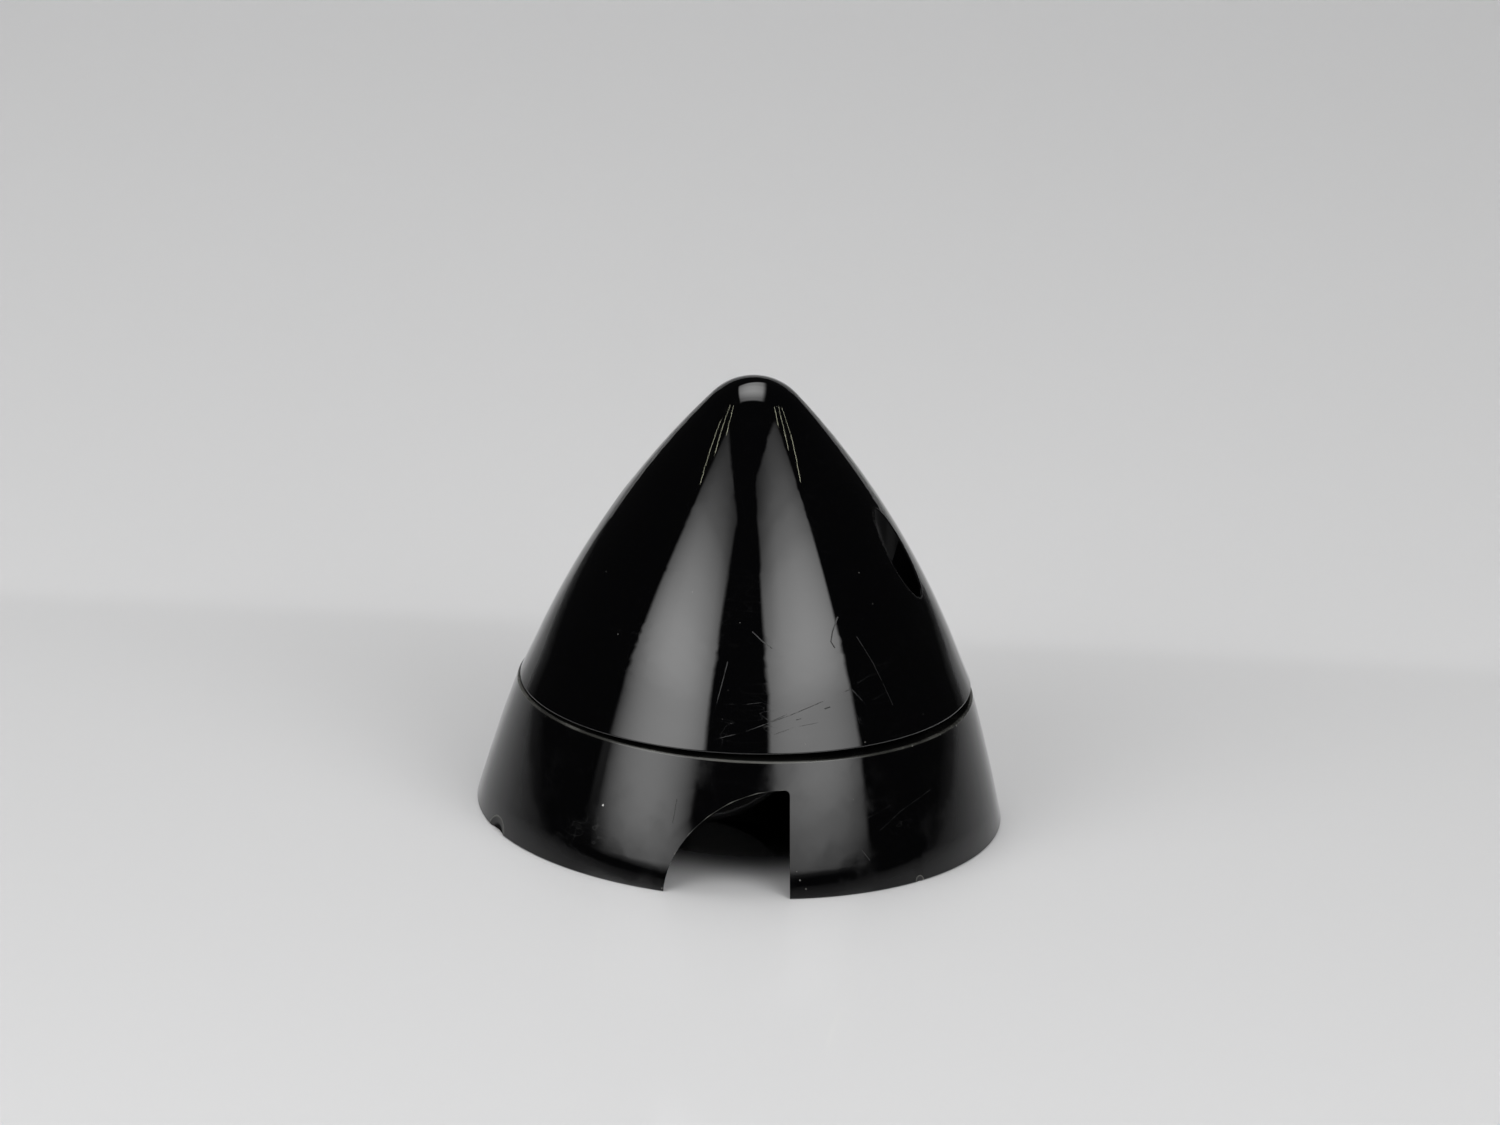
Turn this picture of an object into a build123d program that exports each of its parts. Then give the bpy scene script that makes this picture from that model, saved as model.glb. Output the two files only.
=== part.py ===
"""A moulded plastic nose spinner for a two-blade model aircraft propeller.

A pointed cap stands on a notched ring. The ring's web is clamped in front of the
propeller hub, its two notches clear the blade roots, and two screws that run down
wells in the cap hold the cap to the ring. The cap isn't pulled down evenly: it leans,
and the seam is open on one screw's side.

Millimetres. Origin: centre of the open rim that the spinner stands on. +Z: up the
axis, to the nose. -Y: the side where the first blade leaves the ring.
"""
from build123d import *
from math import asin, atan2, cos, radians, sin, tan
import os

# Ring
base_radius = 25.0        # outside of the open rim
ring_draw_in = 3.43       # how much smaller the ring's radius is at the seam
ring_height = 12.23       # rim to seam
ring_bulge = 0.12         # how far the side stands out of a straight taper at mid height
wall = 1.5                # cap and ring walls, square to the surface
web_thickness = 2.51      # disc that closes the ring's top
shaft_hole_radius = 4.05
nut_seat_radius = 8.5     # thickened middle of the web
nut_seat_rise = 1.2

# Register that centres the cap on the ring
register_height = 1.6
register_thickness = 1.0
register_clearance = 0.25

# Ribs on the front of the web
web_rib_count_each_side = 3
web_rib_spacing = 45.0    # degrees
web_rib_thickness = 1.2
web_rib_height = 0.9

# Blade notches, as seen from the side with the nose up
notch_right = 5.11        # foot of the straight edge
notch_draft = 3.0         # degrees, lean of the straight edge
notch_left = 6.57         # foot of the curved edge
notch_left_lean = 88.8    # degrees, slope of the curved edge at its foot
notch_flat = 0.05         # flat top between the curved edge and the corner's round
notch_crown_pull = 5.71   # how far the curve follows the flat top
notch_foot_pull = 4.63    # how far it follows its own foot
notch_corner = 0.5        # radius between flat top and straight edge

# Cap
cap_step = 0.13           # the cap's foot is this much smaller in radius than the ring
skirt_angle = 23.22       # degrees from the axis, straight lower part of the cap
skirt_height = 4.32
cap_height = 29.84        # foot to tip
nose_radius = 5.56

# How the cap sits
cap_lean = 1.0            # degrees
seam_gap_low = 0.06       # seam at its closed side

# Screws and the wells that they run down
screw_inset = 7.18        # screws' axes, in from the outside of the cap's foot
screw_line_angle = -14.7  # degrees from +X, first screw; the second is opposite
well_radius = 2.3
well_wall = 1.1
well_floor = 2.0          # plastic under the screw's head
floor_hole_clearance = 0.25
screw_radius = 1.3        # over the thread
screw_length = 10.0       # under the head
screw_point = 0.5         # chamfer at the tip
screw_head_radius = 2.1
screw_head_edge = 0.8     # straight side of the pan head
screw_head_height = 1.7
screw_seat_gap = 0.01
thread_clearance = 0.03
recess_span = 2.5         # cross recess, tip to tip
recess_width = 0.7
recess_depth = 1.0
recess_taper = 12.0       # degrees

# Screw bosses under the web
boss_wall = 1.4
boss_drop = 5.1           # below the web
gusset_thickness = 1.2
gusset_drop = 3.6
well_rib_thickness = 1.2

edge_break = 0.15         # moulded outside edges
rim_break = 0.1           # the rim's own outside edge
mouth_break = 0.12        # outside edges of the wells

# Two chips in the rim: polar angle in degrees, radius of the scoop, depth into the
# side, height of the scoop's centre
rim_chips = ((-155.4, 5.0, 0.38, 0.3), (-46.7, 0.6, 0.2, 0.2))

overshoot = 1.0           # how far cutters run past what they cut

# Sizes that follow from the ones above
ring_top_radius = base_radius - ring_draw_in
ring_taper = atan2(ring_draw_in, ring_height)
ring_wall_across = wall / cos(ring_taper)
web_underside = ring_height - web_thickness
cap_foot_radius = ring_top_radius - cap_step
cap_wall_across = wall / cos(radians(skirt_angle))
seam_gap = seam_gap_low + cap_foot_radius * sin(radians(cap_lean))
screw_circle_radius = cap_foot_radius - screw_inset
well_outer_radius = well_radius + well_wall
boss_radius = screw_radius + thread_clearance + boss_wall
screw_angles = (screw_line_angle, screw_line_angle + 180.0)


def polar(radius, angle, z=0.0):
    """A place given by its distance from the axis and its angle from +X in degrees."""
    return Pos(radius * cos(radians(angle)), radius * sin(radians(angle)), z)


def upright(radius, bottom, top):
    """A round post or cutter about the axis, between two heights."""
    return Pos(0, 0, bottom) * Cylinder(
        radius, top - bottom, align=(Align.CENTER, Align.CENTER, Align.MIN))


def round_solid(*outline):
    """A closed outline in the X-Z plane, turned about the axis."""
    edges = [edge for piece in outline for edge in piece.edges()]
    return revolve(make_face(Plane.XZ * Wire(edges)), Axis.Z)


def ring_body(inset, bottom, top):
    """The ring's tapered round form, taken in sideways by inset."""
    middle = (base_radius + ring_top_radius) / 2 + ring_bulge - inset
    foot = (base_radius - inset, 0)
    head = (ring_top_radius - inset, ring_height)
    body = round_solid(
        Line((0, 0), foot),
        ThreePointArc(foot, (middle, ring_height / 2), head),
        Line(head, (0, ring_height)),
        Line((0, ring_height), (0, 0)),
    )
    return body & upright(base_radius + overshoot, bottom, top)


def cap_body(inset, foot_overshoot=0.0):
    """The cap's ogive, taken in by inset square to its surface, foot at z = 0.

    A straight skirt runs into a long arc that touches both the skirt and the round nose.
    """
    slope = radians(skirt_angle)
    skirt_top_radius = cap_foot_radius - skirt_height * tan(slope)
    nose_z = cap_height - nose_radius
    out_r, out_z = cos(slope), sin(slope)
    reach_squared = skirt_top_radius**2 + (skirt_height - nose_z) ** 2
    along = out_r * skirt_top_radius + out_z * (skirt_height - nose_z)
    flank = (reach_squared - nose_radius**2) / (2 * (along - nose_radius))
    centre_r = skirt_top_radius - flank * out_r
    centre_z = skirt_height - flank * out_z
    join_angle = atan2(nose_z - centre_z, -centre_r)

    def on_flank(angle):
        radius = flank - inset
        return (centre_r + radius * cos(angle), centre_z + radius * sin(angle))

    def on_nose(angle):
        radius = nose_radius - inset
        return (radius * cos(angle), nose_z + radius * sin(angle))

    skirt_top = on_flank(slope)
    join = on_flank(join_angle)
    tip = (0, cap_height - inset)
    foot_radius = cap_foot_radius - inset / cos(slope) + foot_overshoot * tan(slope)
    foot = (foot_radius, -foot_overshoot)
    return round_solid(
        Line((0, -foot_overshoot), foot),
        Line(foot, skirt_top),
        ThreePointArc(skirt_top, on_flank((slope + join_angle) / 2), join),
        ThreePointArc(join, on_nose((join_angle + radians(90)) / 2), tip),
        Line(tip, (0, -foot_overshoot)),
    )


def blade_notch():
    """Cutter for one blade root: curved on the left, straight and drafted on the right."""
    foot_left = Vector(-notch_left, 0)
    corner = Vector(notch_right - web_underside * tan(radians(notch_draft)), web_underside)
    crown = corner - Vector(notch_corner + notch_flat, 0)
    lean = radians(notch_left_lean)
    foot_handle = foot_left + Vector(cos(lean), sin(lean)) * notch_foot_pull
    crown_handle = crown - Vector(notch_crown_pull, 0)
    foot_right = Vector(notch_right + overshoot * tan(radians(notch_draft)), -overshoot)
    below_left = Vector(-notch_left, -overshoot)
    outline = Wire([
        Line(below_left, foot_left),
        Bezier(foot_left, foot_handle, crown_handle, crown),
        Line(crown, corner),
        Line(corner, foot_right),
        Line(foot_right, below_left),
    ])
    face = make_face(outline)
    sharp = face.vertices().sort_by_distance((corner.X, corner.Y, 0))[0]
    face = fillet(sharp, notch_corner)
    depth = base_radius + overshoot
    return extrude(Plane.XZ * face, amount=depth)


def web_ribs():
    """Low ribs from the nut seat to the register, clear of the cap's well feet."""
    inner = nut_seat_radius - web_rib_thickness / 2
    outer = cap_foot_radius - cap_wall_across - register_clearance - register_thickness / 2
    blank = Box(outer - inner, web_rib_thickness, web_rib_height,
                align=(Align.MIN, Align.CENTER, Align.MIN))
    ribs = []
    for start in screw_angles:
        for step in range(1, web_rib_count_each_side + 1):
            turn = Rot(Z=start + step * web_rib_spacing)
            ribs.append(turn * Pos(inner, 0, ring_height) * blank)
    return ribs


def register_rim():
    """Raised rim that follows the inside of the cap's skirt."""
    slope = tan(radians(skirt_angle))
    outside = cap_foot_radius - cap_wall_across - register_clearance
    inside = outside - register_thickness
    z = ring_height
    foot = z - web_thickness / 2
    top = z + register_height
    return round_solid(
        Polyline(
            (inside, foot),
            (outside, foot),
            (outside, z),
            (outside - register_height * slope, top),
            (inside - register_height * slope, top),
            (inside, z),
            (inside, foot),
        )
    )


def screw_boss(angle):
    """A post under the web that takes a cap screw, tied to the ring's wall by a gusset."""
    inside_web = web_underside + web_thickness / 2
    post = polar(screw_circle_radius, angle) * upright(
        boss_radius, web_underside - boss_drop, inside_web)
    reach = base_radius - screw_circle_radius
    plate = Rot(Z=angle) * Pos(screw_circle_radius, 0, inside_web) * Box(
        reach, gusset_thickness, gusset_drop + web_thickness / 2,
        align=(Align.MIN, Align.CENTER, Align.MAX))
    inside = ring_body(ring_wall_across / 2, 0, ring_height)
    return post + (plate & inside)


def outer_circle(part, radius, z):
    """The circular edge, or its arcs, at this radius and height."""
    return [
        edge for edge in part.edges().filter_by(GeomType.CIRCLE)
        if abs(edge.radius - radius) < 1e-3 and abs(edge.center().Z - z) < 1e-3
        and abs(edge.arc_center.X) < 1e-3 and abs(edge.arc_center.Y) < 1e-3
    ]


def chip(angle, scoop, depth, height):
    """A scoop out of the rim's outside edge."""
    return polar(base_radius + scoop - depth, angle, height) * Sphere(scoop)


def make_blade_ring():
    ring = ring_body(0, 0, ring_height)
    ring = fillet(outer_circle(ring, ring_top_radius, ring_height), edge_break)
    ring = chamfer(outer_circle(ring, base_radius, 0), rim_break)
    ring -= ring_body(ring_wall_across, 0, web_underside)
    ring += register_rim()
    seat_top = ring_height + nut_seat_rise
    ring += upright(nut_seat_radius, web_underside, seat_top)
    for rib in web_ribs():
        ring += rib
    for angle in screw_angles:
        ring += screw_boss(angle)
    ring -= upright(shaft_hole_radius, -overshoot, seat_top + overshoot)
    pilot = upright(screw_radius + thread_clearance, -overshoot, seat_top + overshoot)
    for angle in screw_angles:
        ring -= polar(screw_circle_radius, angle) * pilot
    notch = blade_notch()
    ring -= notch
    ring -= Rot(Z=180) * notch
    for place_and_size in rim_chips:
        ring -= chip(*place_and_size)
    return ring


def cap_place():
    """Where the cap's foot plane lies: lifted off the ring and leaning off one screw."""
    lift = Pos(0, 0, ring_height + seam_gap)
    lean = Rot(Z=screw_line_angle) * Rot(Y=-cap_lean) * Rot(Z=-screw_line_angle)
    return lift * lean


def screw_well(angle, outside):
    """The tube round one screw, with the rib that ties it to the wall."""
    tube = polar(screw_circle_radius, angle) * upright(well_outer_radius, 0, cap_height)
    reach = cap_foot_radius - screw_circle_radius
    over_register = register_height + register_clearance + seam_gap
    rib = Rot(Z=angle) * Pos(screw_circle_radius, 0, over_register) * Box(
        reach, well_rib_thickness, cap_height, align=(Align.MIN, Align.CENTER, Align.MIN))
    return (tube + rib) & outside


def well_mouth(cap, angle):
    """The edge where one well breaks out through the cap's outside."""
    axis = polar(screw_circle_radius, angle).position
    return [
        edge for edge in cap.edges()
        if edge.geom_type not in (GeomType.CIRCLE, GeomType.LINE)
        and abs(((edge @ 0.5) - axis - Vector(0, 0, (edge @ 0.5).Z)).length - well_radius) < 1e-3
    ]


def make_nose_cap():
    outside = cap_body(0)
    outside = fillet(outer_circle(outside, cap_foot_radius, 0), edge_break)
    core = cap_body(wall / 2)
    cap = outside - cap_body(wall, overshoot)
    for angle in screw_angles:
        cap += screw_well(angle, core)
    well = upright(well_radius, well_floor, cap_height)
    floor_hole = upright(screw_radius + floor_hole_clearance, -overshoot, well_floor + overshoot)
    for angle in screw_angles:
        cap -= polar(screw_circle_radius, angle) * (well + floor_hole)
        cap = fillet(well_mouth(cap, angle), mouth_break)
    return cap_place() * cap


def cap_screw():
    """Pan-head screw with a cross recess, head seat at z = 0, shank downwards."""
    dome_rise = screw_head_height - screw_head_edge
    dome_radius = (screw_head_radius**2 + dome_rise**2) / (2 * dome_rise)
    half_way = asin(screw_head_radius / dome_radius) / 2
    dome_centre = screw_head_height - dome_radius
    shoulder = (screw_head_radius, screw_head_edge)
    bow = (dome_radius * sin(half_way), dome_centre + dome_radius * cos(half_way))
    crown = (0, screw_head_height)
    body = round_solid(
        Polyline(
            (0, -screw_length),
            (screw_radius - screw_point, -screw_length),
            (screw_radius, -screw_length + screw_point),
            (screw_radius, 0),
            (screw_head_radius, 0),
            shoulder,
        ),
        ThreePointArc(shoulder, bow, crown),
        Line(crown, (0, -screw_length)),
    )
    cross = Rectangle(recess_span, recess_width) + Rectangle(recess_width, recess_span)
    recess = extrude(Pos(0, 0, screw_head_height) * cross, amount=-recess_depth, taper=recess_taper)
    return body - recess


def make_cap_screws():
    """Both screws, upright in the ring, with their heads on the leaning well floors."""
    screws = []
    for angle, side in zip(screw_angles, (1, -1)):
        floor_z = ring_height + seam_gap + well_floor * cos(radians(cap_lean))
        floor_z += side * screw_circle_radius * sin(radians(cap_lean))
        seat = floor_z + screw_head_radius * sin(radians(cap_lean)) + screw_seat_gap
        screws.append(polar(screw_circle_radius, angle, seat) * cap_screw())
    return Compound(children=screws)


def main():
    os.makedirs("parts", exist_ok=True)
    nodes = {
        "blade_ring": make_blade_ring(),
        "nose_cap": make_nose_cap(),
        "cap_screws": make_cap_screws(),
    }
    for name, shape in nodes.items():
        export_step(shape, f"parts/{name}.step")


main()
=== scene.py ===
"""The look of a black plastic propeller spinner that stands on a pale glossy table.

Metres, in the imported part's own frame. +Z is the spinner's axis, up to the nose, and -Y
faces the camera. The moulded pieces and screws keep the shape of the frame. This file gives
them their finish and wear, and builds the table, the backdrop, the lights and the camera.
"""

from collections import namedtuple
from functools import reduce
from math import cos, pi, radians, sin

import bmesh
import bpy
from mathutils import Matrix, Vector
from mathutils.bvhtree import BVHTree

bl_info = {
    "name": "Propeller spinner look",
    "version": (1, 0, 0),
    "blender": (4, 5, 0),
    "location": "3D View > Sidebar > Spinner",
    "description": "Finishes a moulded propeller spinner and sets it on a lit table",
    "category": "Object",
}

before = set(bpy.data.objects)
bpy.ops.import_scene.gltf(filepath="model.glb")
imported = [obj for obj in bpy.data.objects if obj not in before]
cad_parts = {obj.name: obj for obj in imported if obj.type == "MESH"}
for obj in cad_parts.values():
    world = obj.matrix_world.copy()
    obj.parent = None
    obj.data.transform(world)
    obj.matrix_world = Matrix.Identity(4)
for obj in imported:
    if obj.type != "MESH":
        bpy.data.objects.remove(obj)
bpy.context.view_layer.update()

MM = 0.001


# Shader maths

class Link:
    """A node's output that takes part in arithmetic. Each operator adds one Math node."""

    def __init__(self, graph, socket):
        self.graph = graph
        self.socket = socket

    def math(self, operation, *values):
        made = self.graph.add("ShaderNodeMath", {"operation": operation}, values)
        return made["Value"]

    def __add__(self, other):
        return self.math("ADD", self, other)

    def __radd__(self, other):
        return self.math("ADD", other, self)

    def __sub__(self, other):
        return self.math("SUBTRACT", self, other)

    def __rsub__(self, other):
        return self.math("SUBTRACT", other, self)

    def __mul__(self, other):
        return self.math("MULTIPLY", self, other)

    def __rmul__(self, other):
        return self.math("MULTIPLY", other, self)

    def __truediv__(self, other):
        return self.math("DIVIDE", self, other)

    def above(self, other):
        return self.math("MAXIMUM", self, other)

    def below(self, other):
        return self.math("MINIMUM", self, other)

    def size(self):
        """Its value without the sign."""
        return self.math("ABSOLUTE", self)

    def sine(self):
        return self.math("SINE", self)


class Made:
    """A node, read by the names of its outputs."""

    def __init__(self, graph, node):
        self.graph = graph
        self.node = node

    def __getitem__(self, name):
        return Link(self.graph, self.node.outputs[name])


class Graph:
    """The node tree of a material, a light or the world."""

    def __init__(self, owner):
        owner.use_nodes = True
        self.tree = owner.node_tree
        self.tree.nodes.clear()

    def add(self, kind, settings=None, sockets=()):
        """A node of any kind: its settings are set first, then its sockets' values or links."""
        node = self.tree.nodes.new(kind)
        for name, value in (settings or {}).items():
            setattr(node, name, value)
        pairs = sockets.items() if isinstance(sockets, dict) else enumerate(sockets)
        for key, value in pairs:
            if isinstance(value, Link):
                self.tree.links.new(value.socket, node.inputs[key])
            else:
                node.inputs[key].default_value = value
        return Made(self, node)

    def ramp(self, value, low, high):
        """0 below low, 1 above high, smooth between."""
        ends = {"Value": value, "From Min": low, "From Max": high}
        return self.add("ShaderNodeMapRange", {"interpolation_type": "SMOOTHSTEP"}, ends)["Result"]

    def blend(self, factor, first, second):
        """Mixes two colours."""
        made = self.add("ShaderNodeMix", {"data_type": "RGBA"})
        for key, value in ((0, factor), (6, first), (7, second)):
            if isinstance(value, Link):
                self.tree.links.new(value.socket, made.node.inputs[key])
            elif key == 0:
                made.node.inputs[key].default_value = value
            else:
                made.node.inputs[key].default_value = (*value, 1.0)
        return Link(self, made.node.outputs[2])

    def vector(self, operation, *values):
        """A Vector Math node."""
        made = self.add("ShaderNodeVectorMath", {"operation": operation}, values)
        scalar = operation in ("DOT_PRODUCT", "LENGTH", "DISTANCE")
        return made["Value" if scalar else "Vector"]

    def scaled(self, vector, factor):
        sockets = {0: vector, "Scale": factor}
        return self.add("ShaderNodeVectorMath", {"operation": "SCALE"}, sockets)["Vector"]

    def noise(self, place, scale, detail=2.0, roughness=0.5):
        sockets = {"Vector": place, "Scale": scale, "Detail": detail, "Roughness": roughness}
        return self.add("ShaderNodeTexNoise", {}, sockets)["Fac"]

    def patches(self, place, pattern):
        """Soft-edged patches: a noise, taken as 0 below the pattern's low end and 1 above its high."""
        field = self.noise(place, pattern.scale, pattern.detail, pattern.roughness)
        return self.ramp(field, pattern.low, pattern.high)

    def profile(self, value, reach, peak, stops):
        """Reads a curve of (place, height) stops at value.

        Places lie in 0 to reach, and heights in 0 to peak.
        """
        made = self.add("ShaderNodeValToRGB", {}, [value / reach])
        curve = made.node.color_ramp
        for _ in range(len(stops) - len(curve.elements)):
            curve.elements.new(1.0)
        for element, (place, height) in zip(curve.elements, stops):
            element.position = place / reach
            element.color = (height / peak, height / peak, height / peak, 1.0)
        return made["Color"] * peak


def between(low, high, share):
    """Goes from low to high as the share goes from 0 to 1."""
    return low + share * (high - low)


# What a user may change

class SpinnerFinish(bpy.types.PropertyGroup):
    plastic_colour: bpy.props.FloatVectorProperty(
        name="Plastic colour", description="Colour of the moulded pieces", subtype="COLOR",
        size=3, min=0.0, max=1.0, default=(0.0008, 0.0008, 0.001))
    worn_colour: bpy.props.FloatVectorProperty(
        name="Worn colour", description="Colour of scratched or chipped plastic", subtype="COLOR",
        size=3, min=0.0, max=1.0, default=(0.012, 0.012, 0.012))
    # Also paints the ring's upper edge, where it is partly a painted highlight
    dust_and_highlight_colour: bpy.props.FloatVectorProperty(
        name="Dust colour", description="Colour of specks and burrs", subtype="COLOR",
        size=3, min=0.0, max=1.0, default=(0.10, 0.10, 0.09))
    gloss_roughness: bpy.props.FloatProperty(
        name="Gloss roughness", description="Roughness of clean plastic", subtype="FACTOR",
        min=0.0, max=1.0, default=0.02)
    steel_colour: bpy.props.FloatVectorProperty(
        name="Steel colour", description="Colour of the plated screws", subtype="COLOR",
        size=3, min=0.0, max=1.0, default=(0.55, 0.55, 0.53))


class SpinnerStage(bpy.types.PropertyGroup):
    table_colour: bpy.props.FloatVectorProperty(
        name="Table colour", description="Colour of the table and the backdrop", subtype="COLOR",
        size=3, min=0.0, max=1.0, default=(0.650, 0.650, 0.656))
    front_light: bpy.props.FloatProperty(
        name="Front panels", description="Brightness of the two front panels", min=0.0, default=1.0)
    top_light: bpy.props.FloatProperty(
        name="Top panel", description="Brightness of the panel overhead", min=0.0, default=1.0)
    tube_light: bpy.props.FloatProperty(
        name="Tubes", description="Radiance of the ceiling's lamp tubes", min=0.0, default=13.0)
    fill_light: bpy.props.FloatProperty(
        name="Fill", description="Radiance of the wide ceiling that softens the shadows",
        min=0.0, default=0.54)
    room_light: bpy.props.FloatProperty(
        name="Room light", description="Radiance of the dim room", min=0.0, default=0.012)


# Wear, placed by bearing round the axis, in degrees from the front, and by height, in millimetres

Scratch = namedtuple("Scratch", "half_width strength path")
Speck = namedtuple("Speck", "bearing height radius")
Hairlines = namedtuple("Hairlines", "turn stretch low high")
CAP_SCRATCHES = (
    Scratch(0.050, 0.6, ((-5.5, 20.5), (-6.5, 18.7), (-7.7, 16.5), (-9.5, 14.8))),
    Scratch(0.035, 0.5, ((-6.5, 17.0), (-1.0, 17.0), (5.0, 17.3))),
    Scratch(0.040, 0.5, ((-8.0, 15.6), (-1.0, 15.3))),
    Scratch(0.035, 0.4, ((-8.5, 15.3), (-2.0, 14.8))),
    Scratch(0.050, 0.7, ((-8.5, 13.8), (0.0, 14.7), (6.0, 15.5), (11.5, 16.3))),
    Scratch(0.035, 0.5, ((-19.0, 15.7), (-11.5, 15.9), (-7.5, 16.2))),
    Scratch(0.055, 0.6, ((1.5, 23.1), (4.5, 22.4), (7.5, 21.8))),
    Scratch(0.070, 0.9, ((30.5, 24.0), (27.7, 22.9), (26.6, 22.1), (27.5, 21.6))),
    Scratch(0.050, 0.45, ((36.0, 22.2), (39.7, 19.8), (43.2, 16.0))),
    Scratch(0.070, 0.9, ((14.0, 15.8), (15.2, 15.9))),
    Scratch(0.080, 1.0, ((22.1, 16.6), (23.5, 16.7))),
    Scratch(0.060, 0.9, ((10.1, 14.8), (11.4, 15.0))),
    Scratch(0.045, 0.9, ((6.0, 15.5), (12.3, 16.2), (19.4, 17.0), (30.3, 18.0))),
    Scratch(0.040, 0.7, ((7.0, 14.5), (13.5, 15.2), (20.3, 15.5))),
    Scratch(0.035, 0.25, ((33.0, 18.4), (37.0, 18.8), (41.4, 18.9))),
    Scratch(0.040, 0.3, ((31.0, 17.9), (33.5, 16.9))),
    Scratch(0.040, 0.25, ((37.3, 16.8), (42.0, 17.2))),
    Scratch(0.040, 0.5, ((-7.0, 35.7), (-3.0, 35.7), (0.0, 35.5), (2.7, 35.2))),
)
CAP_SPECKS = (
    Speck(44.7, 27.2, 0.11), Speck(-2.7, 23.8, 0.09), Speck(32.2, 13.4, 0.10), Speck(-42.6, 21.0, 0.09),
)
CAP_HAIRLINES = (
    Hairlines((0.2, 0.9, 0.3), (140.0, 1100.0, 900.0), 14.0, 24.0),
    Hairlines((0.9, -0.3, 1.2), (180.0, 1000.0, 1200.0), 13.0, 20.0),
)
RING_SCRATCHES = (
    Scratch(0.050, 0.7, ((-14.6, 8.3), (-14.9, 6.2))),
    Scratch(0.045, 0.3, ((33.8, 5.4), (40.0, 6.7), (45.0, 7.3), (50.4, 7.8))),
    Scratch(0.040, 0.2, ((31.0, 6.7), (37.2, 7.4))),
    Scratch(0.050, 0.3, ((30.5, 2.9), (28.7, 3.9))),
)
RING_SPECKS = (
    Speck(14.0, 1.7, 0.14), Speck(15.3, 0.9, 0.14), Speck(13.3, 2.5, 0.10),
    Speck(-15.6, 0.3, 0.12), Speck(76.8, 12.1, 0.15), Speck(67.3, 12.0, 0.16), Speck(58.4, 12.1, 0.12),
    Speck(46.9, 12.1, 0.16), Speck(-58.4, 11.9, 0.14),
)
RING_HAIRLINES = Hairlines((0.4, 0.5, 1.1), (150.0, 900.0, 1000.0), 8.0, 14.0)
WHITE_SPECK = Speck(-32.6, 6.5, 0.13)
WHITE_SPECK_COLOUR = (0.5, 0.5, 0.48)
NOTCH_EDGE = Scratch(0.09, 0.6, (
    (-13.6, 3.5), (-10.8, 5.4), (-6.9, 7.1), (-1.9, 8.5), (4.0, 9.4), (10.4, 9.7)))
RIM_CHIPS = (
    # centre and radius of the round dent, in millimetres
    ((-26.93, -12.33, 0.3), 5.0),
    ((17.42, -18.49, 0.2), 0.6),
)
# A chip's light outline and its bare plastic fade out this far past the dent's radius
CHIP_OUTLINE, CHIP_BARE = (0.06, 0.09), (0.01, 0.02)
# The ring's upper edge is painted lighter, partly as wear and partly as a painted highlight where its
# rounding catches the light. It begins between these heights
EDGE_WEAR_AND_HIGHLIGHT = (12.02, 12.12)
# Below FOOT_HEIGHT the ring reflects as if it curled in. The dip, in metres, is FOOT_CURL times
# the square of the distance below that height.
FOOT_HEIGHT = 2.6
FOOT_CURL = 18.5
# The ring's slope is read between these heights, clear of its broken edges
RING_SKIN_HEIGHTS = (0.6, 11.6)
# The screw wells: the radius of their circle and the degrees of the line through both. Their
# walls are straight and lean with the cap. The edge of the painted shade inside them follows the
# walls only roughly: it is upright, WELL_RADIUS from the well's centre at WELL_LEVEL, and widens
# upwards by WELL_TAPER.
WELL_CIRCLE, WELL_LINE = 14.26, -14.7
WELL_RADIUS, WELL_LEVEL, WELL_TAPER = 2.3, 24.0, 0.042
# Depths inside that edge, negative outside it, over which the worn lip starts, the lip ends and
# the painted shade starts
LIP_START, LIP_END, WELL_SHADE = (-0.22, -0.12), (-0.05, -0.01), (-0.09, -0.03)
# The painted shade inside the ring starts at this depth under its skin
RING_SHADE = (0.15, 0.30)
# Where the painted shade is full, this share of the gloss gives way to a dark matt shader
INSIDE_SHADE = 0.88

# How wear looks. A mark is full within the first share of its half width or radius, and gone
# past the second. Its strength goes from the first value, where a pattern is weakest, to the
# second.
SCRATCH_SHARES, SPECK_SHARES, WHITE_SPECK_SHARES = (0.36, 1.44), (0.2, 0.8), (0.5, 1.0)
SCRATCH_STRENGTH, SPECK_STRENGTH = (0.55, 1.0), (0.3, 1.0)
HAIRLINE_STRENGTH, EDGE_STRENGTH = (0.10, 0.35), (0.25, 0.60)
SCRATCH_ROUGHNESS, DIRT_ROUGHNESS, DUST_ROUGHNESS = 0.75, 0.6, 0.5
HAIRLINE_ROUGHNESS, LIP_ROUGHNESS = 0.45, 0.45
CAP_HAZE, RING_HAZE = 0.04, 0.16

# Patterns. A scale is in cells a metre.
Pattern = namedtuple("Pattern", "scale detail roughness low high")
BREAKS = Pattern(1300.0, 2.0, 0.5, 0.3, 0.5)
CLOUDS = Pattern(300.0, 4.0, 0.6, 0.4, 0.75)
HAIRLINE_PATCHES = Pattern(160.0, 2.0, 0.5, 0.48, 0.62)
EDGE_PATCHES = Pattern(150.0, 3.0, 0.5, 0.4, 0.6)
TARNISH = Pattern(700.0, 4.0, 0.5, 0.45, 0.7)
WAVE_SCALE, WAVE_HEIGHT = 90.0, 1.5e-6
GRAIN_SCALE, GRAIN_HEIGHT = 2500.0, 0.5e-6
HAIRLINE_WIDTH = 0.012
# A cell holds a grain of dust where its grey is high. The grain's radius is a share of the cell.
DUST_SCALE, DUST_STRENGTH = 650.0, 0.6
DUST_CHOSEN, DUST_GRAIN = (0.66, 0.70), (0.02, 0.05)

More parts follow.
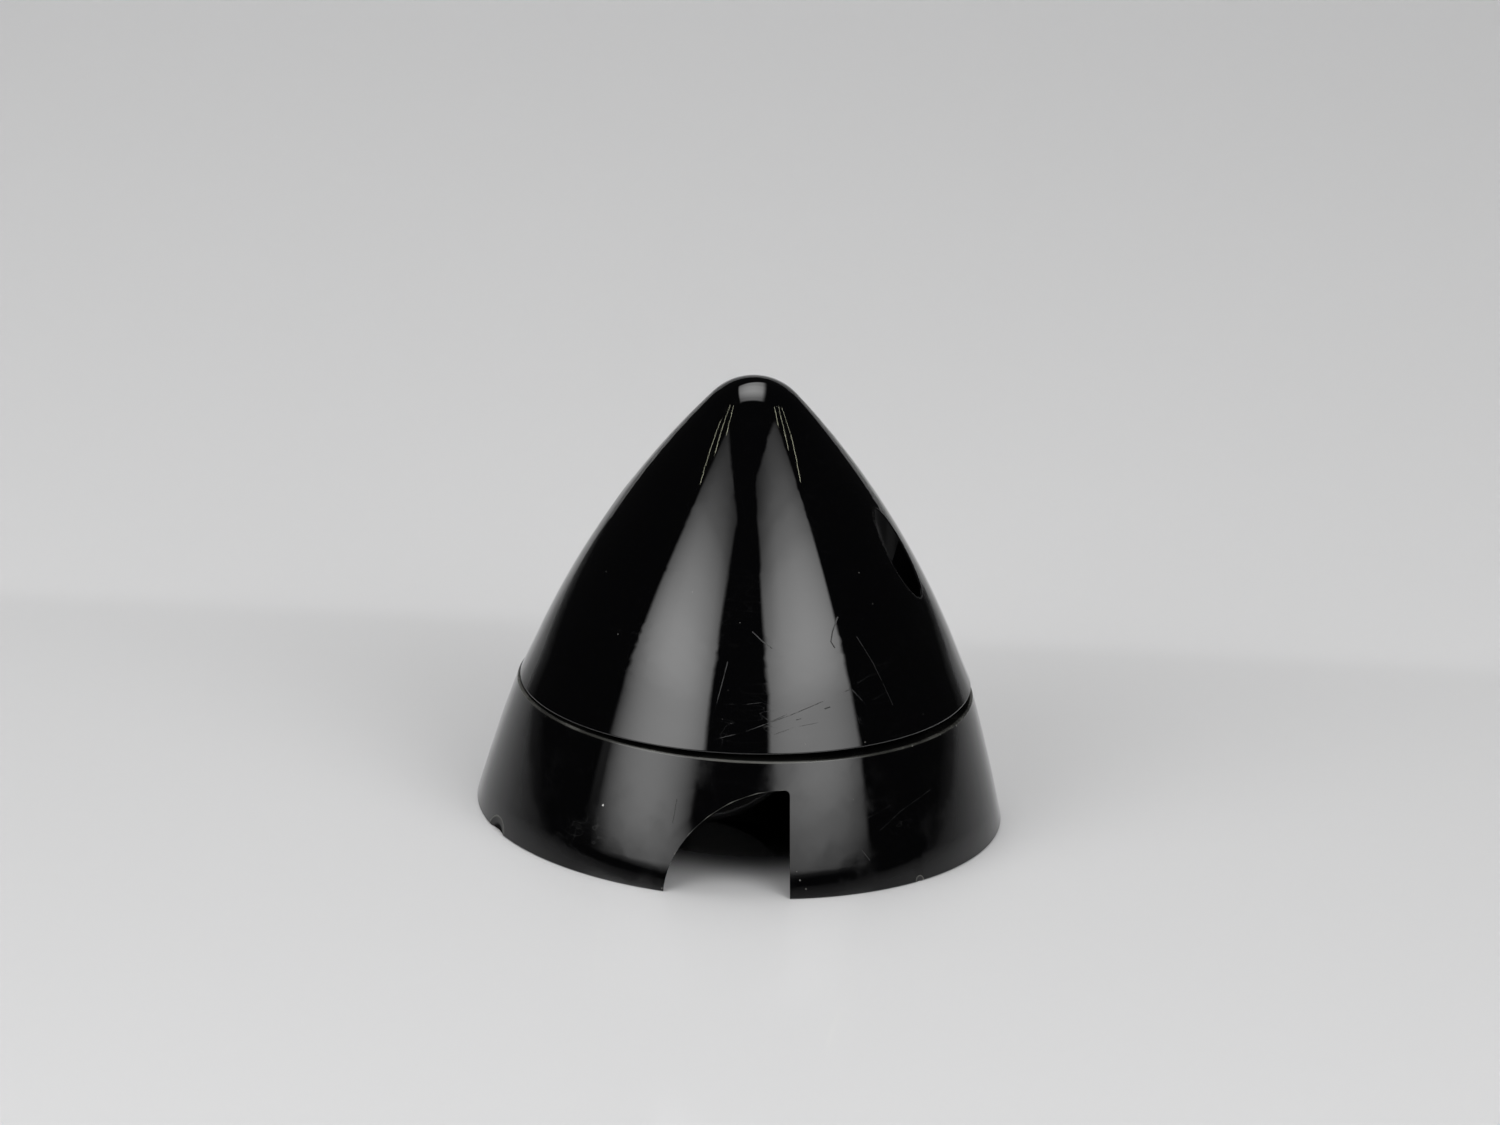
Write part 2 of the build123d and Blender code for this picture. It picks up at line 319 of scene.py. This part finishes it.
# The screws' steel. The turning marks are in radians a metre.
TURNING_WAVES, TURNING_HEIGHT = 40000.0, 1e-6
MOTTLE_SCALE, MOTTLE_HEIGHT = 1500.0, 4e-6
STEEL_ROUGHNESS, MOTTLE_ROUGHNESS, TARNISH_ROUGHNESS = 0.26, 0.2, 0.15
TARNISH_SHADE = 0.6

# Rays that find a piece's skin start this far out, in metres, at a bearing with no notch or well
PLAIN_BEARING = 45.0
RAY_START = 0.1


class Skin:
    """The outside of a round piece."""

    def __init__(self, piece):
        corners = [corner.co for corner in piece.data.vertices]
        faces = [tuple(face.vertices) for face in piece.data.polygons]
        self.tree = BVHTree.FromPolygons(corners, faces)

    def radius(self, level):
        """Read at a bearing that has no notch and no well, and taken for all of them."""
        plain = radians(PLAIN_BEARING)
        outward = Vector((sin(plain), -cos(plain), 0.0))
        return RAY_START - self.tree.ray_cast(outward * RAY_START + Vector((0.0, 0.0, level)), -outward)[3]

    def point(self, bearing, height):
        angle = radians(bearing)
        radius = self.radius(height * MM)
        return Vector((radius * sin(angle), -radius * cos(angle), height * MM))


# Materials

PLASTIC_IOR = 1.58


def finished(piece, material):
    """Puts one material in all of a piece's slots."""
    slots = piece.data.materials
    if len(slots) == 0:
        slots.append(material)
    for index in range(len(slots)):
        slots[index] = material


def well_centre():
    """The axis of the right-hand well, seen from above. The other lies opposite."""
    line = radians(WELL_LINE)
    return Vector((cos(line), sin(line), 0.0)) * WELL_CIRCLE * MM


class Moulding:
    """Glossy black plastic, to which wear and painted shade are added."""

    def __init__(self, name, piece, finish, haze):
        self.material = bpy.data.materials.new(name)
        graph = Graph(self.material)
        self.graph = graph
        self.skin = Skin(piece)
        self.finish = finish
        self.place = graph.add("ShaderNodeTexCoord")["Object"]
        self.flat = graph.vector("MULTIPLY", self.place, (1.0, 1.0, 0.0))
        self.level = graph.add("ShaderNodeSeparateXYZ", {}, [self.place])["Z"]
        self.breaks = graph.patches(self.place, BREAKS)
        self.colour = tuple(finish.plastic_colour)
        self.roughness = finish.gloss_roughness + haze * graph.patches(self.place, CLOUDS)
        wave = graph.noise(self.place, WAVE_SCALE, 1.0)
        grain = graph.noise(self.place, GRAIN_SCALE, 1.0)
        self.height = wave * WAVE_HEIGHT + grain * GRAIN_HEIGHT
        # Painted shade: 0 on the open skin, 1 in recesses and on inner faces
        self.shade = 0.0

    def wear(self, mask, colour, roughness):
        """Where the mask is 1, the plastic takes this colour and roughness."""
        self.colour = self.graph.blend(mask, self.colour, tuple(colour))
        self.roughness = self.roughness * (1.0 - mask) + mask * roughness

    def near(self, point, inner, outer):
        """1 within the inner radius of a point, 0 past the outer one, in millimetres."""
        gap = self.graph.vector("DISTANCE", self.place, point)
        return 1.0 - self.graph.ramp(gap, inner * MM, outer * MM)

    def spot(self, speck, shares):
        """A mask of one speck."""
        middle = self.skin.point(speck.bearing, speck.height)
        return self.near(middle, shares[0] * speck.radius, shares[1] * speck.radius)

    def line(self, scratch):
        """A mask of one scratch, which runs straight from point to point."""
        points = [self.skin.point(*spot) for spot in scratch.path]
        gaps = []
        for first, last in zip(points, points[1:]):
            along = last - first
            offset = self.graph.vector("SUBTRACT", self.place, first)
            share = self.graph.vector("DOT_PRODUCT", offset, along / along.length_squared)
            foot = self.graph.scaled(along, share.above(0.0).below(1.0))
            gaps.append(self.graph.vector("DISTANCE", offset, foot))
        full, gone = (part * scratch.half_width * MM for part in SCRATCH_SHARES)
        return (1.0 - self.graph.ramp(reduce(Link.below, gaps), full, gone)) * scratch.strength

    def add_scratches(self, scratches):
        marks = reduce(Link.above, [self.line(scratch) for scratch in scratches])
        strength = between(*SCRATCH_STRENGTH, self.breaks)
        self.wear(marks * strength, self.finish.worn_colour, SCRATCH_ROUGHNESS)

    def add_specks(self, specks):
        spots = reduce(Link.above, [self.spot(speck, SPECK_SHARES) for speck in specks])
        strength = between(*SPECK_STRENGTH, self.breaks)
        self.wear(spots * strength, self.finish.dust_and_highlight_colour, DIRT_ROUGHNESS)

    def add_hairlines(self, hairlines):
        """Hair-thin lines that run one way, strong below the low height and faint above the high."""
        graph = self.graph
        sockets = {"Vector": self.place, "Rotation": hairlines.turn, "Scale": hairlines.stretch}
        field = graph.noise(graph.add("ShaderNodeMapping", {}, sockets)["Vector"], 1.0, 0.0)
        lines = 1.0 - graph.ramp((field - 0.5).size(), 0.0, HAIRLINE_WIDTH)
        patches = graph.patches(self.place, HAIRLINE_PATCHES)
        band = 1.0 - graph.ramp(self.level, hairlines.low * MM, hairlines.high * MM)
        strength = between(*HAIRLINE_STRENGTH, band)
        self.wear(lines * patches * strength, self.finish.worn_colour, HAIRLINE_ROUGHNESS)

    def add_dust(self):
        """Tiny scattered grains."""
        cells = self.graph.add("ShaderNodeTexVoronoi", {}, {"Vector": self.place, "Scale": DUST_SCALE})
        grey = self.graph.add("ShaderNodeRGBToBW", {}, [cells["Color"]])["Val"]
        chosen = self.graph.ramp(grey, *DUST_CHOSEN)
        grains = (1.0 - self.graph.ramp(cells["Distance"], *DUST_GRAIN)) * chosen
        self.wear(grains * DUST_STRENGTH, self.finish.dust_and_highlight_colour, DUST_ROUGHNESS)

    def made(self):
        """The finished material. Where the painted shade is 1, a dark matt shader takes the place of most
        of the gloss.
        """
        graph = self.graph
        bump = graph.add("ShaderNodeBump", {}, {"Strength": 1.0, "Distance": 1.0, "Height": self.height})
        surface = graph.add("ShaderNodeBsdfPrincipled", {}, {
            "Base Color": self.colour,
            "Roughness": self.roughness,
            "IOR": PLASTIC_IOR,
            "Normal": bump["Normal"],
        })
        # Painted shade: a dark matt shader, mixed in where the wells and inner faces fall into shade
        painted_shade_surface = graph.add("ShaderNodeBsdfDiffuse", {}, {"Color": (*self.finish.plastic_colour, 1.0)})
        parts = [self.shade * INSIDE_SHADE, surface["BSDF"], painted_shade_surface["BSDF"]]
        both = graph.add("ShaderNodeMixShader", {}, parts)
        graph.add("ShaderNodeOutputMaterial", {}, {"Surface": both["Shader"]})
        return self.material


def cap_plastic(piece, finish):
    """The cap: scratched low on the front, with painted shade inside the screw wells."""
    plastic = Moulding("cap_plastic", piece, finish, CAP_HAZE)
    graph = plastic.graph
    for hairlines in CAP_HAIRLINES:
        plastic.add_hairlines(hairlines)
    plastic.add_dust()
    plastic.add_scratches(CAP_SCRATCHES)
    plastic.add_specks(CAP_SPECKS)
    edge = (plastic.level - WELL_LEVEL * MM) * WELL_TAPER + WELL_RADIUS * MM
    for centre in (well_centre(), -well_centre()):
        depth = edge - graph.vector("DISTANCE", plastic.flat, centre)
        started, ended, shaded = (
            graph.ramp(depth, low * MM, high * MM) for low, high in (LIP_START, LIP_END, WELL_SHADE))
        lip = started * (1.0 - ended)
        plastic.wear(lip * between(*EDGE_STRENGTH, plastic.breaks), finish.worn_colour, LIP_ROUGHNESS)
        # Painted shade inside the well
        plastic.shade = shaded + plastic.shade
    return plastic.made()


def ring_plastic(piece, finish):
    """The ring: duller, chipped at the rim, with a burr on the notch, a foot that curls in and painted
    shade inside.
    """
    plastic = Moulding("ring_plastic", piece, finish, RING_HAZE)
    graph = plastic.graph
    plastic.add_hairlines(RING_HAIRLINES)
    plastic.add_dust()
    plastic.add_scratches(RING_SCRATCHES)
    plastic.add_specks(RING_SPECKS)
    plastic.wear(plastic.spot(WHITE_SPECK, WHITE_SPECK_SHARES), WHITE_SPECK_COLOUR, DIRT_ROUGHNESS)
    plastic.wear(plastic.line(NOTCH_EDGE) * plastic.breaks, finish.dust_and_highlight_colour, DIRT_ROUGHNESS)
    for centre, radius in RIM_CHIPS:
        for reach, colour in ((CHIP_OUTLINE, finish.dust_and_highlight_colour), (CHIP_BARE, finish.worn_colour)):
            mark = plastic.near(Vector(centre) * MM, radius + reach[0], radius + reach[1])
            plastic.wear(mark, colour, DIRT_ROUGHNESS)
    # The upper edge: wear and a painted highlight, lighter in patches
    edge = graph.ramp(plastic.level, EDGE_WEAR_AND_HIGHLIGHT[0] * MM, EDGE_WEAR_AND_HIGHLIGHT[1] * MM)
    strength = between(*EDGE_STRENGTH, graph.patches(plastic.place, EDGE_PATCHES))
    plastic.wear(edge * strength, finish.dust_and_highlight_colour, DUST_ROUGHNESS)
    below = (FOOT_HEIGHT * MM - plastic.level).above(0.0)
    plastic.height = plastic.height - below * below * FOOT_CURL
    # Painted shade on every face under the ring's outer skin: its inside, the notches' cut faces and the
    # seam ledge
    low, high = (plastic.skin.radius(height * MM) for height in RING_SKIN_HEIGHTS)
    taper = (high - low) / ((RING_SKIN_HEIGHTS[1] - RING_SKIN_HEIGHTS[0]) * MM)
    skin = (plastic.level - RING_SKIN_HEIGHTS[0] * MM) * taper + low
    depth = skin - graph.vector("LENGTH", plastic.flat)
    plastic.shade = graph.ramp(depth, RING_SHADE[0] * MM, RING_SHADE[1] * MM)
    return plastic.made()


def plated_steel(finish):
    """Dull zinc on the screws, with faint turning marks on their heads."""
    material = bpy.data.materials.new("plated_steel")
    graph = Graph(material)
    place = graph.add("ShaderNodeTexCoord")["Object"]
    flat = graph.vector("MULTIPLY", place, (1.0, 1.0, 0.0))
    near, far = (graph.vector("DISTANCE", flat, centre) for centre in (well_centre(), -well_centre()))
    turning = (near.below(far) * TURNING_WAVES).sine()
    mottle = graph.noise(place, MOTTLE_SCALE, 3.0)
    tarnish = graph.patches(place, TARNISH)
    height = turning * TURNING_HEIGHT + mottle * MOTTLE_HEIGHT
    bump = graph.add("ShaderNodeBump", {}, {"Strength": 1.0, "Distance": 1.0, "Height": height})
    steel = tuple(finish.steel_colour)
    tarnished = tuple(TARNISH_SHADE * value for value in steel)
    surface = graph.add("ShaderNodeBsdfPrincipled", {}, {
        "Base Color": graph.blend(tarnish, steel, tarnished),
        "Metallic": 1.0,
        "Roughness": STEEL_ROUGHNESS + MOTTLE_ROUGHNESS * mottle + TARNISH_ROUGHNESS * tarnish,
        "Normal": bump["Normal"],
    })
    graph.add("ShaderNodeOutputMaterial", {}, {"Surface": surface["BSDF"]})
    return material


# Pieces

class SPINNER_OT_cap(bpy.types.Operator):
    """Gives the nose cap its moulded black finish, with painted shade in its screw wells"""
    bl_idname = "spinner.cap"
    bl_label = "Nose cap"

    def execute(self, context):
        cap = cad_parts["nose_cap"]
        finished(cap, cap_plastic(cap, context.scene.spinner_finish))
        return {"FINISHED"}


class SPINNER_OT_ring(bpy.types.Operator):
    """Gives the notched ring its moulded black finish, with painted shade inside and a painted highlight on
    its upper edge
    """
    bl_idname = "spinner.ring"
    bl_label = "Blade ring"

    def execute(self, context):
        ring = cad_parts["blade_ring"]
        finished(ring, ring_plastic(ring, context.scene.spinner_finish))
        return {"FINISHED"}


class SPINNER_OT_screws(bpy.types.Operator):
    """Gives the two cap screws their plated steel"""
    bl_idname = "spinner.screws"
    bl_label = "Cap screws"

    def execute(self, context):
        finished(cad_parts["cap_screws"], plated_steel(context.scene.spinner_finish))
        return {"FINISHED"}


# Stage: sizes in metres, angles in degrees

IMAGE_WIDTH = 1500
CAMERA_PLACE = (0.0, -0.600, 0.224351)
CAMERA_YAW, CAMERA_PITCH, CAMERA_ROLL = -0.013, 18.441, 2.909
FOCAL_PIXELS = 6708.044
SENSOR_WIDTH = 36.0
CLIP_NEAR, CLIP_FAR = 0.01, 20.0

TABLE_HALF = 3.0
# The table's colour darkens over these distances: as painted shade sideways from the middle, and as a
# painted shadow in under the ring
TABLE_PAINTED_SIDE_REACH, TABLE_PAINTED_SIDE_SHADE = (0.10, 0.20), 0.4
TABLE_PAINTED_SHADOW_REACH, TABLE_PAINTED_SHADOW_SHARE = (0.0125, 0.0225), 0.03
TABLE_ROUGHNESS, TABLE_IOR = 0.03, 1.5
BACKDROP_AT = 1.2
BACKDROP_HALF = 0.7
BACKDROP_BEND = 0.3
BACKDROP_HEIGHT = 0.2
BACKDROP_LIFT = 0.0005
BACKDROP_STEPS = 24

# The panels' places on their own planes are given as shares of PANEL_DISTANCE: sideways
# from the middle, and up from the table's level. A front panel's edges lean and its top tilts.
# It dims to its sides by the two falls and the tilt, and its glow is a curve of (height,
# brightness).
PANEL_DISTANCE = 0.45
PANEL_LEAN = 8.0
PANEL_HALF, PANEL_HEIGHT = 0.62, 1.75
PANEL_SOFT = 0.03
PANEL_LOW, PANEL_FLOOR = (0.15, 0.5), 0.05
FrontPanel = namedtuple("FrontPanel", "name bearing left left_lean right right_lean top top_tilt"
                        " fall low_fall tilt glow")
FRONT_PANELS = (
    FrontPanel("left_panel", -43.5, -0.50, 0.06, 0.41, 0.0, 1.32, -0.12, 3.2, 2.6, 0.0, (
        (0.0, 0.0), (0.05, 0.0), (0.08, 0.4), (0.095, 1.1), (0.11, 1.7), (0.14, 2.35), (0.17, 2.8),
        (0.20, 2.95), (0.24, 2.95),
        (0.34, 3.3), (0.42, 3.7), (0.46, 4.2), (0.50, 4.6), (0.56, 4.7), (0.62, 4.5), (0.70, 3.9),
        (0.78, 3.4), (0.86, 2.75), (0.94, 2.1), (1.00, 1.5), (1.08, 1.15), (1.18, 0.8), (1.26, 0.6),
        (1.40, 0.5))),
    FrontPanel("right_panel", 36.8, -0.36, -0.08, 0.39, 0.07, 1.57, 0.0, 2.5, 2.0, 0.2, (
        (0.0, 0.0), (0.06, 0.0), (0.09, 0.15), (0.11, 0.8), (0.125, 1.25), (0.14, 1.55), (0.17, 1.8),
        (0.20, 2.45), (0.23, 2.8), (0.42, 2.8),
        (0.46, 3.05), (0.50, 3.7), (0.54, 4.15), (0.60, 4.4), (0.66, 4.38), (0.74, 4.1), (0.82, 3.75),
        (0.90, 3.3), (0.98, 2.5), (1.06, 2.15), (1.14, 1.6), (1.22, 1.4), (1.30, 1.1), (1.38, 0.92),
        (1.46, 0.78), (1.60, 0.6))),
)
PANEL_PEAK = 5.0

TOP_PANEL_HEIGHT = 1.0
TOP_PANEL_LOW, TOP_PANEL_HIGH = (-0.5, -0.15), (0.35, 1.25)
TOP_PANEL_GLOW = (
    (0.0, 1.5), (0.10, 1.9), (0.20, 2.15), (0.25, 2.7), (0.30, 3.0), (0.35, 3.4), (0.42, 3.7),
    (0.48, 3.95), (0.55, 3.7), (0.65, 3.35), (0.75, 3.1), (0.85, 2.6), (0.93, 2.05), (1.05, 1.95),
    (1.15, 1.75), (1.25, 1.4))
# Where the top panel's soft edges start and end, as shares of TOP_PANEL_HEIGHT
TOP_PANEL_LEFT, TOP_PANEL_RIGHT = (-0.46, -0.40), (0.14, 0.28)
TOP_PANEL_NEAR, TOP_PANEL_FAR, TOP_PANEL_SKEW = (-0.11, -0.03), (1.02, 1.14), 0.5
TOP_PANEL_MIDDLE, TOP_PANEL_FALL = -0.08, 3.3
TUBE_HEIGHT = 1.0
TUBE_WIDTH = 0.005
FILL_HEIGHT, FILL_SIZE = 2.0, 4.0
TUBE_COLOUR = (1.0, 1.0, 0.75)
TUBES = (
    # x and y of each lamp tube's two ends, as shares of TUBE_HEIGHT
    (-0.950, -0.27, -0.925, 0.04), (-0.800, -0.24, -0.815, 0.03), (-0.655, -0.25, -0.690, -0.08),
    (0.595, -0.20, 0.625, 0.03), (0.725, -0.21, 0.745, 0.05), (0.870, -0.24, 0.845, 0.12),
)


def make_camera(scene):
    """The photographed view."""
    data = bpy.data.cameras.new("view")
    data.sensor_width = SENSOR_WIDTH
    data.lens = FOCAL_PIXELS * SENSOR_WIDTH / IMAGE_WIDTH
    data.clip_start, data.clip_end = CLIP_NEAR, CLIP_FAR
    camera = bpy.data.objects.new("view", data)
    scene.collection.objects.link(camera)
    yaw, pitch, roll = radians(CAMERA_YAW), radians(CAMERA_PITCH), radians(CAMERA_ROLL)
    ahead = Vector((sin(yaw) * cos(pitch), cos(yaw) * cos(pitch), -sin(pitch)))
    level = Vector((cos(yaw), -sin(yaw), 0.0))
    upward = level.cross(ahead)
    across = cos(roll) * level + sin(roll) * upward
    above = cos(roll) * upward - sin(roll) * level
    camera.matrix_world = Matrix((across, above, -ahead)).transposed().to_4x4()
    camera.matrix_world.translation = Vector(CAMERA_PLACE)
    scene.camera = camera


def table_surface(colour):
    """Pale and smooth, with painted shade far out to the sides and a painted shadow under the ring."""
    material = bpy.data.materials.new("pale_table")
    graph = Graph(material)
    place = graph.add("ShaderNodeTexCoord")["Object"]
    axes = graph.add("ShaderNodeSeparateXYZ", {}, [place])
    # Painted shade to the sides, and a painted shadow under the ring
    sideways = between(1.0, TABLE_PAINTED_SIDE_SHADE, graph.ramp(axes["X"].size(), *TABLE_PAINTED_SIDE_REACH))
    under = between(TABLE_PAINTED_SHADOW_SHARE, 1.0, graph.ramp(graph.vector("LENGTH", place), *TABLE_PAINTED_SHADOW_REACH))
    surface = graph.add("ShaderNodeBsdfPrincipled", {}, {
        "Base Color": graph.scaled(tuple(colour), sideways * under),
        "Roughness": TABLE_ROUGHNESS,
        "IOR": TABLE_IOR,
    })
    graph.add("ShaderNodeOutputMaterial", {}, {"Surface": surface["BSDF"]})
    return material


def make_table(scene, colour):
    """A wide flat table."""
    shape = bmesh.new()
    bmesh.ops.create_grid(shape, x_segments=1, y_segments=1, size=TABLE_HALF)
    mesh = bpy.data.meshes.new("table")
    shape.to_mesh(mesh)
    shape.free()
    table = bpy.data.objects.new("table", mesh)
    scene.collection.objects.link(table)
    table.data.materials.append(table_surface(colour))


def make_backdrop(scene, colour):
    """A wall behind that bends up from the table."""
    shape = bmesh.new()
    start = shape.verts.new((-BACKDROP_HALF, BACKDROP_AT, BACKDROP_LIFT))
    end = shape.verts.new((BACKDROP_HALF, BACKDROP_AT, BACKDROP_LIFT))
    edge = shape.edges.new((start, end))
    bend_centre = (0.0, BACKDROP_AT, BACKDROP_BEND)
    swept = bmesh.ops.spin(shape, geom=[start, end, edge], cent=bend_centre, axis=(1.0, 0.0, 0.0),
                           angle=radians(90.0), steps=BACKDROP_STEPS)
    last = [item for item in swept["geom_last"] if isinstance(item, bmesh.types.BMEdge)]
    raised = bmesh.ops.extrude_edge_only(shape, edges=last)
    top = [item for item in raised["geom"] if isinstance(item, bmesh.types.BMVert)]
    bmesh.ops.translate(shape, verts=top, vec=(0.0, 0.0, BACKDROP_HEIGHT))
    for face in shape.faces:
        face.smooth = True
    mesh = bpy.data.meshes.new("backdrop")
    shape.to_mesh(mesh)
    shape.free()
    backdrop = bpy.data.objects.new("backdrop", mesh)
    scene.collection.objects.link(backdrop)
    material = bpy.data.materials.new("pale_backdrop")
    graph = Graph(material)
    surface = graph.add("ShaderNodeBsdfDiffuse", {}, {"Color": (*colour, 1.0)})
    graph.add("ShaderNodeOutputMaterial", {}, {"Surface": surface["BSDF"]})
    backdrop.data.materials.append(material)


def lit_rectangle(scene, name, width, height, matrix, radiance, colour=(1.0, 1.0, 1.0)):
    """A rectangular lamp of known radiance."""
    data = bpy.data.lights.new(name, "AREA")
    data.shape = "RECTANGLE"
    data.size, data.size_y = width, height
    data.energy = radiance * pi * width * height
    data.color = colour
    lamp = bpy.data.objects.new(name, data)
    scene.collection.objects.link(lamp)
    lamp.matrix_world = matrix
    return lamp


def panel_place(data):
    """The graph of a lamp, with the place on it, from 0 to 1 each way."""
    graph = Graph(data)
    spot = graph.add("ShaderNodeNewGeometry")["Parametric"]
    axes = graph.add("ShaderNodeSeparateXYZ", {}, [spot])
    return graph, axes["X"], axes["Y"]


def panel_glow(graph, strength):
    emission = graph.add("ShaderNodeEmission", {}, {"Strength": strength})
    graph.add("ShaderNodeOutputLight", {}, {"Surface": emission["Emission"]})


def make_front_panel(scene, panel, brightness):
    """An upright softbox that leans over the table, brightest in its lower middle."""
    angle = radians(panel.bearing)
    lean = radians(PANEL_LEAN)
    out = Vector((sin(angle), -cos(angle), 0.0))
    across = Vector((cos(angle), sin(angle), 0.0))
    upward = Vector((0.0, 0.0, 1.0)) * cos(lean) - out * sin(lean)
    matrix = Matrix((across, upward, across.cross(upward))).transposed().to_4x4()
    matrix.translation = out * PANEL_DISTANCE + upward * (PANEL_HEIGHT / 2 * PANEL_DISTANCE)
    width, height = 2 * PANEL_HALF * PANEL_DISTANCE, PANEL_HEIGHT * PANEL_DISTANCE
    lamp = lit_rectangle(scene, panel.name, width, height, matrix, brightness)
    graph, share_across, share_up = panel_place(lamp.data)
    sideways = (share_across - 0.5) * (2 * PANEL_HALF)
    aloft = share_up * PANEL_HEIGHT
    from_left = sideways - (aloft * panel.left_lean + panel.left)
    from_right = (aloft * panel.right_lean + panel.right) - sideways
    from_top = (sideways * panel.top_tilt + panel.top) - aloft
    edges = graph.ramp(from_left, -PANEL_SOFT, PANEL_SOFT) * graph.ramp(from_right, -PANEL_SOFT, PANEL_SOFT)
    edges = edges * graph.ramp(from_top, -PANEL_SOFT, PANEL_SOFT)
    low = 1.0 - graph.ramp(aloft, *PANEL_LOW)
    fall = 1.0 + sideways * panel.tilt - (low * panel.low_fall + panel.fall) * (sideways * sideways)
    glow = graph.profile(aloft, PANEL_HEIGHT, PANEL_PEAK, panel.glow)
    panel_glow(graph, glow * edges * fall.above(PANEL_FLOOR))


def make_top_panel(scene, brightness):
    """The softbox overhead, which reaches back over the table."""
    low, high = Vector(TOP_PANEL_LOW), Vector(TOP_PANEL_HIGH)
    middle = (low + high) / 2 * TOP_PANEL_HEIGHT
    size = high - low
    place = Matrix.Translation((middle.x, middle.y, TOP_PANEL_HEIGHT))
    lamp = lit_rectangle(scene, "top_panel", size.x * TOP_PANEL_HEIGHT, size.y * TOP_PANEL_HEIGHT,
                         place, brightness)
    graph, share_across, share_back = panel_place(lamp.data)
    x = share_across * size.x + low.x
    y = share_back * size.y + low.y
    edges = graph.ramp(x, *TOP_PANEL_LEFT) * (1.0 - graph.ramp(x, *TOP_PANEL_RIGHT))
    edges = edges * graph.ramp(y, *TOP_PANEL_NEAR)
    edges = edges * (1.0 - graph.ramp(y - TOP_PANEL_SKEW * x, *TOP_PANEL_FAR))
    off_middle = x - TOP_PANEL_MIDDLE
    fall = 1.0 - TOP_PANEL_FALL * (off_middle * off_middle)
    along = y - low.y
    panel_glow(graph, graph.profile(along, size.y, PANEL_PEAK, TOP_PANEL_GLOW) * edges * fall)


def make_tube(scene, name, ends, radiance):
    first, last = Vector(ends[:2]) * TUBE_HEIGHT, Vector(ends[2:]) * TUBE_HEIGHT
    middle, along = (first + last) / 2, last - first
    turn = Matrix.Rotation(along.angle_signed(Vector((0.0, 1.0))), 4, "Z")
    place = Matrix.Translation((middle.x, middle.y, TUBE_HEIGHT)) @ turn
    lit_rectangle(scene, name, TUBE_WIDTH, along.length, place, radiance, TUBE_COLOUR)


def make_fill(scene, radiance):
    """A wide ceiling that lights the table and shows in no reflection."""
    place = Matrix.Translation((0.0, 0.0, FILL_HEIGHT))
    lamp = lit_rectangle(scene, "ceiling_fill", FILL_SIZE, FILL_SIZE, place, radiance)
    lamp.visible_glossy = False


def make_lights(scene, stage):
    for panel in FRONT_PANELS:
        make_front_panel(scene, panel, stage.front_light)
    make_top_panel(scene, stage.top_light)
    for number, ends in enumerate(TUBES, 1):
        make_tube(scene, f"tube_{number}", ends, stage.tube_light)
    make_fill(scene, stage.fill_light)


def make_room(scene, radiance):
    """A dim room."""
    scene.world = bpy.data.worlds.new("room")
    graph = Graph(scene.world)
    white = (1.0, 1.0, 1.0, 1.0)
    glow = graph.add("ShaderNodeBackground", {}, {"Color": white, "Strength": radiance})
    graph.add("ShaderNodeOutputWorld", {}, {"Surface": glow["Background"]})


class SPINNER_OT_stage(bpy.types.Operator):
    """Builds the table, the backdrop, the lights and the camera"""
    bl_idname = "spinner.stage"
    bl_label = "Stage"

    def execute(self, context):
        scene = context.scene
        stage = scene.spinner_stage
        make_camera(scene)
        make_table(scene, stage.table_colour)
        make_backdrop(scene, stage.table_colour)
        make_lights(scene, stage)
        make_room(scene, stage.room_light)
        scene.view_settings.view_transform = "Standard"
        return {"FINISHED"}


class SPINNER_PT_panel(bpy.types.Panel):
    """Colours, lamps and steps of the spinner's look"""
    bl_idname = "SPINNER_PT_panel"
    bl_label = "Spinner"
    bl_space_type = "VIEW_3D"
    bl_region_type = "UI"
    bl_category = "Spinner"

    def draw(self, context):
        for group in (context.scene.spinner_finish, context.scene.spinner_stage):
            for name in group.__annotations__:
                self.layout.prop(group, name)
        for step in STEPS:
            self.layout.operator(step.bl_idname)


STEPS = (SPINNER_OT_cap, SPINNER_OT_ring, SPINNER_OT_screws, SPINNER_OT_stage)
CLASSES = (SpinnerFinish, SpinnerStage, *STEPS, SPINNER_PT_panel)


def register():
    for item in CLASSES:
        bpy.utils.register_class(item)
    bpy.types.Scene.spinner_finish = bpy.props.PointerProperty(type=SpinnerFinish)
    bpy.types.Scene.spinner_stage = bpy.props.PointerProperty(type=SpinnerStage)


def unregister():
    del bpy.types.Scene.spinner_stage
    del bpy.types.Scene.spinner_finish
    for item in reversed(CLASSES):
        bpy.utils.unregister_class(item)


def main():
    register()
    bpy.ops.spinner.cap()
    bpy.ops.spinner.ring()
    bpy.ops.spinner.screws()
    bpy.ops.spinner.stage()


if __name__ == "__main__":
    main()
